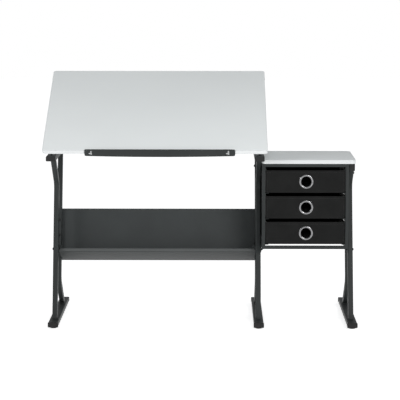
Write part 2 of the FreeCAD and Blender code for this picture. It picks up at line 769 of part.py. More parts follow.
def side_core():
    z = (SIDE_Z, SIDE_Z + BOARD_T)
    return rounded_slab(inset(SIDE_X, BAND_T), inset(SIDE_Y, BAND_T), z, SIDE_CORNER_R - BAND_T)


def side_top():
    return cut_all(side_core(), [side_screw_hole(p) for p in side_screw_points()])


def side_top_edge_band():
    outer = rounded_slab(SIDE_X, SIDE_Y, (SIDE_Z, SIDE_Z + BOARD_T), SIDE_CORNER_R)
    return outer.cut(side_core())


def side_top_screws():
    screws = []
    for x, y, z in side_screw_points():
        screws.append(button_screw(vec(x, y, z), Z_AXIS, SIDE_Z - z + 9.0))
    return group(screws)


def square_tube(x, y, z, axis):
    """A square tube along one axis, open at its two ends."""
    limits = [x, y, z]
    inner = [lim if i == axis else inset(lim, BAR_WALL) for i, lim in enumerate(limits)]
    return block(*limits).cut(block(*inner))


def cage_uprights():
    posts = []
    for x in (CAGE_X[0], CAGE_X[1] - BAR):
        for y in (CAGE_Y[0], CAGE_Y[1] - BAR):
            posts.append(square_tube((x, x + BAR), (y, y + BAR), CAGE_Z, 2))
    return group([cut_all(post, cage_bolt_holes()) for post in posts])


def cage_cross_rails():
    rails = []
    x = inset(CAGE_X, BAR)
    for y in (CAGE_Y[0], CAGE_Y[1] - BAR):
        for z in (CAGE_Z[0], CAGE_Z[1] - BAR):
            rails.append(square_tube(x, (y, y + BAR), (z, z + BAR), 0))
    return group(rails)


def cage_side_rails():
    rails = []
    y = inset(CAGE_Y, BAR)
    for x in (CAGE_X[0], CAGE_X[1] - BAR):
        for z in (CAGE_Z[0], CAGE_Z[1] - BAR):
            rail = square_tube((x, x + BAR), y, (z, z + BAR), 1)
            rails.append(cut_all(rail, [side_screw_hole(p) for p in side_screw_points()]))
    return group(rails)


def drawer_bottom(index):
    return DRAWER_TOP_BOTTOM_Z - index * DRAWER_PITCH


def drawer_runners():
    """Angles welded inside the cage, one pair under each drawer."""
    runners = []
    for index in range(DRAWER_COUNT):
        top = drawer_bottom(index) - 0.5
        foot = max(top - RUNNER_FIN, CAGE_Z[0] + BAR + 0.2)
        for x, inward in ((CAGE_X[0] + BAR, 1), (CAGE_X[1] - BAR, -1)):
            shelf = block(sorted((x, x + inward * RUNNER_W)), CAGE_Y, (top - RUNNER_T, top))
            fin = block(sorted((x, x + inward * RUNNER_T)), CAGE_Y, (foot, top))
            runners.append(shelf.fuse(fin).removeSplitter())
    return group(runners)


def tab_places():
    """Y and height of each tab that ties the cage to a leg."""
    places = []
    for z in TAB_HOLE_Z:
        for rear in (False, True):
            places.append((leg_centre_y(z, rear), z))
    return places


def cage_tabs():
    tabs = []
    for x in ((CAGE_X[0] - TAB_T, CAGE_X[0]), (CAGE_X[1], CAGE_X[1] + TAB_T)):
        for y, z in tab_places():
            z_limits = (z - 12, CAGE_Z[0] + BAR) if z < 400 else (z - 12, CAGE_Z[1] - 1)
            tab = block(x, span(y, TAB_W), z_limits)
            tabs.append(tab.cut(rod(vec(x[0] - 1, y, z), X_AXIS, BOLT_R + 0.02, TAB_T + 2)))
    return group(tabs)


def cage_bolt_holes():
    holes = []
    for y, z in tab_places():
        holes.append(rod(vec(CAGE_X[0] - 5, y, z), X_AXIS, BOLT_R + 0.1, 13))
        holes.append(rod(vec(CAGE_X[1] - 8, y, z), X_AXIS, BOLT_R + 0.1, 13))
    return holes


def cage_bolts():
    bolts = []
    length = LEG_W + TAB_T + 7
    for leg_x, inward in ((MID_X, 1), (RIGHT_X, -1)):
        for y, z in tab_places():
            through_ear = leg_x == MID_X and z == TROUGH_EAR_Z and y < LEG_TURN_Y - 30
            washer = TROUGH_EAR_T if through_ear else 0.0
            seat = vec(leg_x - inward * (LEG_W / 2 + washer), y, z)
            piece = bolt(seat, X_AXIS * inward, length + washer)
            inside_post = y + NUT_R > CAGE_Y[1] - BAR
            if not inside_post:
                nut_at = vec(leg_x + inward * (LEG_W / 2 + TAB_T), y, z)
                piece = piece.fuse(hex_prism(nut_at, X_AXIS * inward, NUT_R, NUT_T))
            bolts.append(piece)
    return group(bolts)


def hinge_bolts():
    bolts = []
    for x in (LEFT_X, MID_X):
        bolts.append(bolt(vec(x, HINGE_BOLT_Y, TOP_TUBE_TOP + EAR_T), Z_AXIS * -1, 12.0))
    return group(bolts)


# ---------------------------------------------------------------- drawers

def finger_hole_x():
    """The finger hole is set a little to the right of the drawer's middle."""
    return (DRAWER_X[0] + DRAWER_X[1]) / 2 + GROMMET_OFFSET


def drawer_box(index):
    """A fabric-covered box, open on top, with a finger hole in its front."""
    low = drawer_bottom(index)
    outer = rounded_slab(DRAWER_X, DRAWER_Y, (low, low + DRAWER_H), 4.0)
    inner_z = (low + FABRIC_T, low + DRAWER_H + 5)
    inner = rounded_slab(inset(DRAWER_X, FABRIC_T), inset(DRAWER_Y, FABRIC_T), inner_z, 1.5)
    centre = vec(finger_hole_x(), DRAWER_Y[0] - 5, low + DRAWER_H / 2)
    return outer.cut(inner).cut(rod(centre, Y_AXIS, GROMMET_HOLE_R + 1.0, 20))


def drawer_base_board(index):
    low = drawer_bottom(index) + FABRIC_T
    x = inset(DRAWER_X, FABRIC_T + 1.0)
    y = inset(DRAWER_Y, FABRIC_T + 1.0)
    return rounded_slab(x, y, (low, low + BASE_BOARD_T), 2.0)


def grommet(index):
    """A pressed eyelet: a rolled flange outside, a throat, and a curled rim inside."""
    front = DRAWER_Y[0]
    back = front + FABRIC_T
    z = drawer_bottom(index) + DRAWER_H / 2
    throat = GROMMET_HOLE_R + 1.0
    profile = [
        (GROMMET_HOLE_R, back + 1.2),
        (GROMMET_HOLE_R, front - 1.2),
        (GROMMET_HOLE_R + 2.0, front - 2.6),
        (GROMMET_R - 3.0, front - 2.2),
        (GROMMET_R, front),
        (throat, front),
        (throat, back),
        (GROMMET_HOLE_R + 4.5, back),
        (GROMMET_HOLE_R + 3.5, back + 1.2),
    ]
    loop = [vec(finger_hole_x() + r, y, z) for r, y in profile]
    loop.append(loop[0])
    face = Part.Face(Part.makePolygon(loop))
    return face.revolve(vec(finger_hole_x(), 0, z), Y_AXIS, 360)


# ---------------------------------------------------------------- writing out

def frame_nodes():
    nodes = {}
    for name, x in (("left", LEFT_X), ("mid", MID_X), ("right", RIGHT_X)):
        nodes[name + "_foot_tube"] = foot_tube(x)
        nodes[name + "_front_leg"] = leg(x, False)
        nodes[name + "_rear_leg"] = leg(x, True)
    nodes["left_top_tube"] = top_tube(LEFT_X)
    nodes["mid_top_tube"] = top_tube(MID_X)
    nodes["right_top_tube"] = right_top_tube()
    nodes["foot_end_caps"] = foot_end_caps()
    nodes["top_tube_end_caps"] = top_tube_end_caps()
    nodes["rear_crossbar"] = rear_crossbar()
    nodes["hinge_brackets"] = hinge_brackets()
    nodes["hinge_bolts"] = hinge_bolts()
    nodes["prop_slide_rails"] = prop_slide_rails()
    nodes["rest_pads"] = rest_pads()
    nodes["book_trough"] = book_trough()
    nodes["trough_ears"] = trough_ears()
    nodes["trough_bolts"] = trough_bolts()
    return nodes


def side_nodes():
    return {
        "side_top": side_top(),
        "side_top_edge_band": side_top_edge_band(),
        "side_top_screws": side_top_screws(),
        "cage_uprights": cage_uprights(),
        "cage_cross_rails": cage_cross_rails(),
        "cage_side_rails": cage_side_rails(),
        "drawer_runners": drawer_runners(),
        "cage_tabs": cage_tabs(),
        "cage_bolts": cage_bolts(),
    }


def board_nodes():
    return {
        "main_top": main_top(),
        "main_top_edge_band": main_top_edge_band(),
        "board_hinge_leaves": board_hinge_leaves(),
        "prop_brackets": prop_brackets(),
        "pivot_pins": pivot_pins(),
        "board_screws": board_screws(),
        "ledge_screws": ledge_screws(),
        "pencil_ledge": pencil_ledge(),
        "prop_arm_left": prop_arm(LEFT_X, 1),
        "prop_arm_right": prop_arm(MID_X, -1),
        "prop_cross_rod": prop_cross_rod(),
        "clamp_knob_left": clamp_knob(LEFT_X, 1),
        "clamp_knob_right": clamp_knob(MID_X, -1),
    }


def drawer_nodes():
    nodes = {}
    for index in range(DRAWER_COUNT):
        name = "drawer_" + str(index + 1)
        nodes[name + "_box"] = drawer_box(index)
        nodes[name + "_base_board"] = drawer_base_board(index)
        nodes[name + "_grommet"] = grommet(index)
    return nodes


def leveler_nodes():
    nodes = {}
    for name, x in (("left", LEFT_X), ("mid", MID_X), ("right", RIGHT_X)):
        for end, y in zip(("front", "rear"), inset(FOOT_Y, LEVELER_INSET)):
            nodes["leveler_" + name + "_" + end] = leveler(x, y)
    return nodes


def all_nodes():
    nodes = {}
    for maker in (frame_nodes, side_nodes, board_nodes, drawer_nodes, leveler_nodes):
        nodes.update(maker())
    return nodes


def footprint_centre(nodes):
    box = group(list(nodes.values())).optimalBoundingBox()
    return vec((box.XMin + box.XMax) / 2, (box.YMin + box.YMax) / 2, 0)


def main():
    nodes = all_nodes()
    origin = footprint_centre(nodes)
    os.makedirs("parts", exist_ok=True)
    for name, shape in nodes.items():
        shape.translate(origin * -1)
        shape.exportStep("parts/" + name + ".step")
    print("origin at", round(origin.x, 3), round(origin.y, 3), "nodes", len(nodes))
    return nodes, origin


if __name__ == "__main__":
    main()
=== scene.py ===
import json
import math

import bmesh
import bpy
from mathutils import Matrix, Vector, noise


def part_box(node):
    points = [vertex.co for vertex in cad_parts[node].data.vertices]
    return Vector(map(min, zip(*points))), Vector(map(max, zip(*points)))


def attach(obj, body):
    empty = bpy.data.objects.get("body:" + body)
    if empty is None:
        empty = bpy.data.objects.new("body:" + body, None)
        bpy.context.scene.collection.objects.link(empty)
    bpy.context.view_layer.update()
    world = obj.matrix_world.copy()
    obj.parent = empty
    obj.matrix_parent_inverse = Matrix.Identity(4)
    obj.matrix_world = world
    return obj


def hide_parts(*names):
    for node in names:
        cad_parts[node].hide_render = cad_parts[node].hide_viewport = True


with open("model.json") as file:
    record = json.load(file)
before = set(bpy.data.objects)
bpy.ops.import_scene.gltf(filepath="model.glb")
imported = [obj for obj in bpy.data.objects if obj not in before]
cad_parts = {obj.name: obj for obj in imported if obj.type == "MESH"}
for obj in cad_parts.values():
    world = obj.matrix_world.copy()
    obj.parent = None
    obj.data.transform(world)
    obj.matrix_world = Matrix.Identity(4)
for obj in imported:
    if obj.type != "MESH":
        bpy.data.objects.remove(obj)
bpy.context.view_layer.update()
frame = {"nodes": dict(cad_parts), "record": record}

MM = 0.001
RECORD = frame["record"]
NODES = frame["nodes"]
MOUNTS = {m["name"]: m for m in RECORD["mounts"]}

# Sizes of finishing details, in metres
BAND_T = 1.0 * MM
ARRIS = 1.1 * MM
BOARD_CORNER = 12.0 * MM
SIDE_CORNER = 18.0 * MM
SHEET_T = 1.5 * MM
FABRIC_T = 3.0 * MM
STITCH_PITCH = 4.2 * MM
STITCH_HALF = 1.35 * MM
STITCH_R = 0.32 * MM
WELD_R = 1.5 * MM
DRAWER_CORNER = 4.0 * MM
HEM_DROP = 9.0 * MM
CLOTH_HOLE_R = 22.4 * MM
CLOTH_SLACK = 0.8 * MM
EYELET_W = 8.0 * MM
EYELET_CROWN = 2.5 * MM
WASHER_R = 6.0 * MM
WASHER_HOLE = 3.1 * MM
WASHER_T = 1.0 * MM
BOLT_HEAD_R = 5.2 * MM
BOLT_HEAD_H = 3.0 * MM
BOLT_SHANK_R = 2.95 * MM
NUT_CORNER = 5.7 * MM
NUT_H = 4.8 * MM
BROAD_R = 4.5 * MM
SCREW_HEAD_R = 3.7 * MM
SCREW_HEAD_H = 1.9 * MM
SCREW_SEAT = 2.0 * MM
SCREW_SHANK_R = 1.95 * MM
SCREW_PITCH = 0.9 * MM
STEM_R = 3.9 * MM
STEM_BASE = 6.2 * MM
STEM_PITCH = 1.25 * MM
KNOB_LOBES = 5
GRIP_GROOVES = 24

# Camera and studio: metres, degrees, watts
CAMERA_AT = (0.0585, -6.8602, 1.506)
CAMERA_LENS = 147.6
CAMERA_SENSOR = 36.0
CAMERA_DOWN = 8.32
CAMERA_TURN = 0.55
KEY_POWER = 98
FILL_POWER = 34
HORIZON = (1.0, 1.0, 1.0, 1)
OVERHEAD = (0.42, 0.425, 0.43, 1)


# ---------------------------------------------------------------- small helpers

def finish_mesh(bm, name, angle=35):
    """Turn a bmesh into a smooth-shaded object whose sharp corners stay sharp."""
    bmesh.ops.recalc_face_normals(bm, faces=bm.faces)
    mesh = bpy.data.meshes.new(name)
    bm.to_mesh(mesh)
    bm.free()
    mesh.polygons.foreach_set("use_smooth", [True] * len(mesh.polygons))
    mesh.set_sharp_from_angle(angle=math.radians(angle))
    piece = bpy.data.objects.new(name, mesh)
    bpy.context.scene.collection.objects.link(piece)
    return piece


def dress(piece, material, slot, body, *replaced):
    """Give a piece its material and its body, and hide the CAD nodes it stands for; the slot argument is not
    used.
    """
    piece.data.materials.clear()
    piece.data.materials.append(material)
    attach(piece, body)
    if replaced:
        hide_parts(*replaced)
    return piece


def islands(node, axes=Matrix.Identity(4)):
    """The box of each separate solid in a CAD node, and its points, measured along some axes."""
    mesh = NODES[node].data
    flatten = axes.inverted()
    parent = list(range(len(mesh.vertices)))
    first = {}
    for vertex in mesh.vertices:
        key = tuple(round(c, 5) for c in vertex.co)
        parent[vertex.index] = first.setdefault(key, vertex.index)

    def root(i):
        while parent[i] != i:
            parent[i] = parent[parent[i]]
            i = parent[i]
        return i

    for a, b in mesh.edge_keys:
        parent[root(a)] = root(b)
    groups = {}
    for vertex in mesh.vertices:
        groups.setdefault(root(vertex.index), []).append(flatten @ vertex.co)
    found = []
    for points in groups.values():
        low = Vector([min(p[axis] for p in points) for axis in range(3)])
        high = Vector([max(p[axis] for p in points) for axis in range(3)])
        found.append((low, high, points))
    return sorted(found, key=lambda item: tuple(round(c, 4) for c in item[0]))


def section_box(node, z):
    """The rectangle that a CAD node's vertices fill at one height."""
    points = [v.co for v in NODES[node].data.vertices if abs(v.co.z - z) < 0.3 * MM]
    xs = [p.x for p in points]
    ys = [p.y for p in points]
    return min(xs), max(xs), min(ys), max(ys)


def rounded_outline(width, depth, radius, steps=8):
    """Points round a rectangle with rounded corners, centred on the origin."""
    points = []
    for index, (sx, sy) in enumerate(((1, 1), (-1, 1), (-1, -1), (1, -1))):
        centre = Vector((sx * (width / 2 - radius), sy * (depth / 2 - radius)))
        for step in range(steps + 1):
            angle = math.pi / 2 * (index + step / steps)
            points.append(centre + Vector((math.cos(angle), math.sin(angle))) * radius)
    return points


def skin_rings(bm, rings, close_ends=True):
    """Join rings of points with quads, and cap the two ends."""
    rows = [[bm.verts.new(p) for p in ring] for ring in rings]
    count = len(rows[0])
    for low, high in zip(rows, rows[1:]):
        for i in range(count):
            j = (i + 1) % count
            bm.faces.new((low[i], low[j], high[j], high[i]))
    if close_ends:
        bm.faces.new(rows[0])
        bm.faces.new(rows[-1])
    return rows


def lathe(name, profile, segments=64, closed=True):
    """Turn a profile of (radius, height) points about +Z."""
    bm = bmesh.new()
    rows = []
    for radius, height in profile:
        row = []
        for step in range(segments):
            angle = 2 * math.pi * step / segments
            row.append(bm.verts.new((radius * math.cos(angle), radius * math.sin(angle), height)))
        rows.append(row)
    pairs = list(zip(rows, rows[1:]))
    if closed:
        pairs.append((rows[-1], rows[0]))
    for low, high in pairs:
        for i in range(segments):
            j = (i + 1) % segments
            bm.faces.new((low[i], low[j], high[j], high[i]))
    if not closed:
        bm.faces.new(rows[0])
        bm.faces.new(rows[-1])
    return finish_mesh(bm, name)


def turned_ring(segments, z, radius_at):
    """Points round the Z axis at height z, with a radius for each angle."""
    ring = []
    for step in range(segments):
        angle = 2 * math.pi * step / segments
        radius = radius_at(angle)
        ring.append(Vector((radius * math.cos(angle), radius * math.sin(angle), z)))
    return ring


def hex_reach(half_width, angle):
    """How far a hexagon reaches from its centre at an angle."""
    local = (angle + math.pi / 6) % (math.pi / 3) - math.pi / 6
    return half_width / math.cos(local)


def subtract(piece, cutters):
    """Cut other objects out of a piece for good, and delete them."""
    for cutter in cutters:
        cut = piece.modifiers.new("cut", "BOOLEAN")
        cut.operation = "DIFFERENCE"
        cut.solver = "EXACT"
        cut.object = cutter
    bpy.context.view_layer.update()
    depsgraph = bpy.context.evaluated_depsgraph_get()
    piece.data = bpy.data.meshes.new_from_object(piece.evaluated_get(depsgraph))
    piece.modifiers.clear()
    for cutter in cutters:
        bpy.data.objects.remove(cutter)


def place(piece, origin, axis):
    """Stand a piece built along +Z at origin, pointing along axis, inside its own mesh."""
    piece.data.transform(standing(origin, axis))
    return piece


def stamp(name, stamps, axes=Matrix.Identity(4)):
    """One object made of many placed copies: stamps are pairs of a pattern and where its copy goes."""
    bm = bmesh.new()
    for pattern, matrix in stamps:
        mesh = pattern.data.copy()
        mesh.transform(axes @ matrix)
        bm.from_mesh(mesh)
        bpy.data.meshes.remove(mesh)
    return finish_mesh(bm, name)


def standing(origin, axis):
    """Where a pattern built along +Z stands at origin and points along axis."""
    turn = Vector((0, 0, 1)).rotation_difference(Vector(axis)).to_matrix().to_4x4()
    return Matrix.Translation(origin) @ turn


# ---------------------------------------------------------------- materials

class Paint:
    """A node material with the usual wiring: colour, roughness and bump into one shader."""

    def __init__(self, name, metallic=0.0, **settings):
        self.material = bpy.data.materials.new(name)
        self.material.use_nodes = True
        self.nodes = self.material.node_tree.nodes
        self.links = self.material.node_tree.links
        self.shader = self.nodes["Principled BSDF"]
        self.shader.inputs["Metallic"].default_value = metallic
        for key, value in settings.items():
            self.shader.inputs[key.replace("_", " ")].default_value = value
        self.place = self.nodes.new("ShaderNodeTexCoord").outputs["Object"]

    def node(self, kind, **settings):
        made = self.nodes.new(kind)
        for key, value in settings.items():
            if key in made.inputs:
                made.inputs[key].default_value = value
            else:
                setattr(made, key, value)
        return made

    def scaled(self, factors):
        mapping = self.node("ShaderNodeMapping")
        mapping.inputs["Scale"].default_value = factors
        self.links.new(self.place, mapping.inputs["Vector"])
        return mapping.outputs["Vector"]

    def noise(self, scale, detail=3.0, vector=None):
        made = self.node("ShaderNodeTexNoise", Scale=scale, Detail=detail)
        self.links.new(vector or self.place, made.inputs["Vector"])
        return made.outputs["Fac"]

    def ramp(self, source, stops):
        made = self.node("ShaderNodeValToRGB")
        band = made.color_ramp
        for index, (at, colour) in enumerate(stops):
            stop = band.elements[index] if index < 2 else band.elements.new(at)
            stop.position = at
            stop.color = (*colour, 1) if hasattr(colour, "__len__") else (colour, colour, colour, 1)
        self.links.new(source, made.inputs["Fac"])
        return made.outputs["Color"]

    def maths(self, operation, a, b=None):
        made = self.node("ShaderNodeMath", operation=operation)
        for socket, value in zip(made.inputs, (a, b)):
            if value is None:
                continue
            if isinstance(value, (int, float)):
                socket.default_value = value
            else:
                self.links.new(value, socket)
        return made.outputs["Value"]

    def colour(self, source):
        self.links.new(source, self.shader.inputs["Base Color"])

    def roughness(self, source, low, high):
        spread = self.node("ShaderNodeMapRange")
        spread.inputs["To Min"].default_value = low
        spread.inputs["To Max"].default_value = high
        self.links.new(source, spread.inputs["Value"])
        self.links.new(spread.outputs["Result"], self.shader.inputs["Roughness"])

    def bump(self, source, distance, strength=1.0):
        made = self.node("ShaderNodeBump", Strength=strength, Distance=distance)
        self.links.new(source, made.inputs["Height"])
        above = self.shader.inputs["Normal"]
        if above.is_linked:
            self.links.new(above.links[0].from_socket, made.inputs["Normal"])
        self.links.new(made.outputs["Normal"], above)


def powder_coat(name="powder_coat_charcoal", tint=(0.0175, 0.0205, 0.0205), gloss=0.24):
    """Fine-textured satin charcoal powder coat with the faint orange peel of a sprayed finish."""
    paint = Paint(name, Specular_IOR_Level=gloss)
    peel = paint.noise(900.0, 2.0)
    cloud = paint.noise(6.0, 4.0)
    darker = tuple(c * 0.88 for c in tint)
    lighter = tuple(c * 1.12 for c in tint)
    paint.colour(paint.ramp(cloud, [(0.3, darker), (0.7, lighter)]))
    paint.roughness(peel, 0.42, 0.58)
    paint.bump(peel, 0.12 * MM, 0.35)
    paint.bump(paint.noise(140.0, 2.0), 0.25 * MM, 0.2)
    return paint.material


def laminate():
    """White melamine laminate: a faint pearl texture with very slight handling marks."""
    paint = Paint("white_laminate", Specular_IOR_Level=0.28)
    cloud = paint.noise(3.0, 5.0)
    speck = paint.noise(700.0, 2.0)
    paint.colour(paint.ramp(cloud, [(0.3, (0.77, 0.80, 0.80)), (0.7, (0.79, 0.82, 0.82))]))
    paint.roughness(paint.noise(9.0, 6.0), 0.42, 0.54)
    paint.bump(speck, 0.06 * MM, 0.3)
    return paint.material


def edge_band():
    """White plastic edge band with a fine, even grain."""
    paint = Paint("white_edge_band", Specular_IOR_Level=0.5)
    cloud = paint.noise(4.0, 2.0)
    paint.colour(paint.ramp(cloud, [(0.3, (0.57, 0.585, 0.59)), (0.7, (0.61, 0.625, 0.625))]))
    paint.roughness(paint.noise(60.0, 3.0), 0.26, 0.38)
    paint.bump(paint.noise(700.0, 2.0), 0.02 * MM, 0.15)
    return paint.material


def fabric():
    """Black non-woven fabric: thermally bonded dots in a close diamond grid over loose fibres."""
    paint = Paint("black_nonwoven_fabric", Specular_IOR_Level=0.12, Sheen_Weight=0.12, Sheen_Roughness=0.5)
    split = paint.node("ShaderNodeSeparateXYZ")
    paint.links.new(paint.place, split.inputs["Vector"])
    along = paint.maths("ADD", split.outputs["X"], split.outputs["Y"])
    rise = split.outputs["Z"]
    pitch = 2 * math.pi / (1.6 * MM)
    one = paint.maths("SINE", paint.maths("MULTIPLY", paint.maths("ADD", along, rise), pitch))
    two = paint.maths("SINE", paint.maths("MULTIPLY", paint.maths("SUBTRACT", along, rise), pitch))
    dots = paint.maths("MULTIPLY", one, two)
    fibre = paint.noise(1400.0, 4.0)
    cloud = paint.noise(14.0, 5.0)
    paint.colour(paint.ramp(cloud, [(0.25, (0.0055, 0.0057, 0.0056)), (0.75, (0.0095, 0.0097, 0.0095))]))
    paint.roughness(fibre, 0.78, 0.95)
    paint.bump(dots, 0.12 * MM, 0.6)
    paint.bump(fibre, 0.10 * MM, 0.5)
    return paint.material


def thread():
    """Black polyester stitching, a little glossier than the cloth."""
    paint = Paint("black_thread", Specular_IOR_Level=0.45)
    twist = paint.noise(2500.0, 2.0)
    paint.colour(paint.ramp(twist, [(0.3, 0.012), (0.7, 0.035)]))
    paint.roughness(twist, 0.45, 0.65)
    paint.bump(twist, 0.1 * MM, 0.5)
    return paint.material


def nickel():
    """Polished nickel plate with a slight smear in its gloss."""
    paint = Paint("polished_nickel", metallic=1.0)
    cloud = paint.noise(55.0, 4.0)
    paint.colour(paint.ramp(cloud, [(0.3, (0.20, 0.20, 0.205)), (0.7, (0.27, 0.27, 0.275))]))
    paint.roughness(paint.noise(220.0, 3.0), 0.13, 0.26)
    paint.bump(paint.noise(400.0, 2.0), 0.02 * MM, 0.3)
    return paint.material


def zinc():
    """Bright zinc plate with a fine drawn grain."""
    paint = Paint("bright_zinc", metallic=1.0)
    grain = paint.noise(30.0, 3.0, paint.scaled((3.0, 60.0, 60.0)))
    paint.colour(paint.ramp(grain, [(0.3, (0.52, 0.53, 0.54)), (0.7, (0.66, 0.66, 0.65))]))
    paint.roughness(grain, 0.24, 0.4)
    paint.bump(grain, 0.03 * MM, 0.3)
    return paint.material


def black_oxide():
    """Blackened steel fasteners, slightly oily and rubbed on their corners."""
    paint = Paint("black_oxide_steel", metallic=0.35, Specular_IOR_Level=0.3)
    rub = paint.noise(350.0, 3.0)
    paint.colour(paint.ramp(rub, [(0.35, (0.005, 0.005, 0.0055)), (0.8, (0.016, 0.016, 0.017))]))
    paint.roughness(rub, 0.3, 0.5)
    paint.bump(rub, 0.04 * MM, 0.3)
    return paint.material


def moulded_plastic(name="moulded_black_plastic", low=0.006, high=0.011):
    """Spark-textured moulded plastic."""
    paint = Paint(name, Specular_IOR_Level=0.28)
    spark = paint.noise(1100.0, 3.0)
    paint.colour(paint.ramp(paint.noise(20.0, 3.0), [(0.3, low), (0.7, high)]))
    paint.roughness(spark, 0.45, 0.62)
    paint.bump(spark, 0.1 * MM, 0.4)
    return paint.material


def rubber():
    """Matt moulded rubber with a fine bloom."""
    paint = Paint("black_rubber", Specular_IOR_Level=0.3)
    bloom = paint.noise(90.0, 5.0)
    paint.colour(paint.ramp(bloom, [(0.3, 0.012), (0.75, 0.024)]))
    paint.roughness(bloom, 0.7, 0.9)
    paint.bump(paint.noise(800.0, 2.0), 0.1 * MM, 0.4)
    return paint.material


def weld_metal():
    """Painted weld bead: the frame's coat over a rippled surface."""
    paint = Paint("coated_weld", Specular_IOR_Level=0.28)
    ripple = paint.noise(500.0, 3.0)
    paint.colour(paint.ramp(ripple, [(0.3, (0.015, 0.0175, 0.0175)), (0.7, (0.021, 0.024, 0.024))]))
    paint.roughness(ripple, 0.35, 0.55)
    paint.bump(ripple, 0.3 * MM, 0.5)
    return paint.material


def floor_white():
    """The studio's plain white floor, lit from within as well as from above."""
    paint = Paint("studio_floor", Specular_IOR_Level=0.1, Roughness=0.8)
    paint.colour(paint.ramp(paint.noise(0.7, 2.0), [(0.3, 0.80), (0.7, 0.82)]))
    paint.shader.inputs["Emission Color"].default_value = (1, 1, 1, 1)
    paint.shader.inputs["Emission Strength"].default_value = 0.70
    return paint.material


M = {
    "powder_coat": powder_coat(),
    # A lighter copy of the charcoal coat for the trough's back panel: its raised tint is a painted
    # reflection, and it has a little more gloss.
    "sheet_coat_painted_reflection": powder_coat("sheet_coat_painted_reflection", (0.0235, 0.0275, 0.028), 0.34),
    # A much lighter copy of the same coat for the hem on the trough's lip: a painted highlight along its
    # rolled edge.
    "hem_coat_painted_highlight": powder_coat("hem_coat_painted_highlight", (0.042, 0.046, 0.046), 0.5),
    "white_laminate": laminate(),
    "white_edge_band": edge_band(),
    "black_fabric": fabric(),
    "base_board": moulded_plastic("covered_base_board", 0.006, 0.010),
    "nickel_grommet": nickel(),
    "zinc_steel": zinc(),
    "black_oxide": black_oxide(),
    "black_plastic": moulded_plastic(),
    "black_rubber": rubber(),
    "thread": thread(),
    "weld": weld_metal(),
}


def paint_cad_nodes():
    """Every carried-over CAD node takes the node material of its record slot."""
    for part in RECORD["subparts"]:
        mesh = NODES[part["node"]].data
        mesh.materials.clear()
        mesh.materials.append(M[part["material_slot"]])


# ---------------------------------------------------------------- boards

def slab_mesh(name, width, depth, thickness, corner, arris):
    """A board with rounded corners and a small rounded arris top and bottom, centred on its top."""
    rings = []
    steps = 3
    for step in range(steps + 1):
        angle = math.pi / 2 * step / steps
        pull = arris * (1 - math.sin(angle))
        rise = -thickness + arris * (1 - math.cos(angle))
        rings.append((pull, rise))
    for step in range(steps + 1):
        angle = math.pi / 2 * step / steps
        pull = arris * (1 - math.cos(angle))
        rise = -arris * (1 - math.sin(angle))
        rings.append((pull, rise))
    bm = bmesh.new()
    loops = []
    for pull, rise in rings:
        outline = rounded_outline(width - 2 * pull, depth - 2 * pull, corner - pull)
        loops.append([Vector((p.x, p.y, rise)) for p in outline])
    skin_rings(bm, loops)
    return finish_mesh(bm, name, 50)


def band_mesh(name, width, depth, thickness, corner, wall, arris):
    """A thin strip round a board's edge, with rounded outer arrises."""
    outer = [(arris, -thickness), (arris * 0.3, -thickness + arris * 0.3), (0, -thickness + arris)]
    outer += [(0, -arris), (arris * 0.3, -arris * 0.3), (arris, 0)]
    inner = [(wall, -0.05 * MM), (wall, -thickness + 0.05 * MM)]
    bm = bmesh.new()
    loops = []
    for pull, rise in outer + inner:
        outline = rounded_outline(width - 2 * pull, depth - 2 * pull, corner - pull)
        loops.append([Vector((p.x, p.y, rise)) for p in outline])
    rows = skin_rings(bm, loops, close_ends=False)
    count = len(rows[0])
    for i in range(count):
        j = (i + 1) % count
        bm.faces.new((rows[-1][i], rows[-1][j], rows[0][j], rows[0][i]))
    return finish_mesh(bm, name, 30)


def board_axes(mount):
    """A matrix that puts a board drawn flat about its centre onto the mount's surface."""
    up = Vector(mount["axis"]).normalized()
    side = Vector((1, 0, 0))
    back = up.cross(side)
    turn = Matrix((side, back, up)).transposed().to_4x4()
    return Matrix.Translation(Vector(mount["pos_m"])) @ turn


def board_size(node, mount):
    """Width, depth and thickness of a tilted board, from its box and the way it faces."""
    low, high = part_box(node)
    up = Vector(mount["axis"]).normalized()
    c, s = up.z, -up.y
    dy, dz = high.y - low.y, high.z - low.z
    spread = c * c - s * s
    return high.x - low.x, (dy * c - dz * s) / spread, (dz * c - dy * s) / spread


def make_board(name, core, mount_name, corner, body):
    """The laminated panel and its edge strip, in place of the CAD core and its band."""
    band = core + "_edge_band"
    mount = MOUNTS[mount_name]
    width, depth, thickness = board_size(band, mount)
    axes = board_axes(mount)
    gap = BAND_T + 0.12 * MM
    panel = slab_mesh(name + "_panel", width - 2 * gap, depth - 2 * gap, thickness, corner - gap, 0.25 * MM)
    panel.data.transform(axes)
    dress(panel, M["white_laminate"], "white_laminate", body, core)
    strip = band_mesh(name + "_edge_strip", width, depth, thickness, corner, BAND_T, ARRIS * 0.7)
    strip.data.transform(axes)
    dress(strip, M["white_edge_band"], "white_edge_band", body, band)


# ---------------------------------------------------------------- drawers

def wall_rings(height):
    """Rings up the outside, over the rim and down the inside of a drawer: inset, height, softness."""
    rings = [(0.4 * MM, 0.0, 0.0), (0.1 * MM, 1.2 * MM, 0.1)]
    rows = 9
    for row in range(1, rows):
        rings.append((0.0, height * row / rows, math.sin(math.pi * row / rows)))
    rings += [(0.0, height - 1.6 * MM, 0.15), (0.5 * MM, height - 0.4 * MM, 0.0)]
    rings += [(1.5 * MM, height, 0.0), (2.5 * MM, height - 0.4 * MM, 0.0)]
    rings.append((FABRIC_T, height - 1.6 * MM, 0.0))
    for row in range(rows - 1, 0, -1):
        rings.append((FABRIC_T, FABRIC_T + (height - FABRIC_T) * row / rows, 0.0))
    rings.append((FABRIC_T, FABRIC_T, 0.0))
    return rings


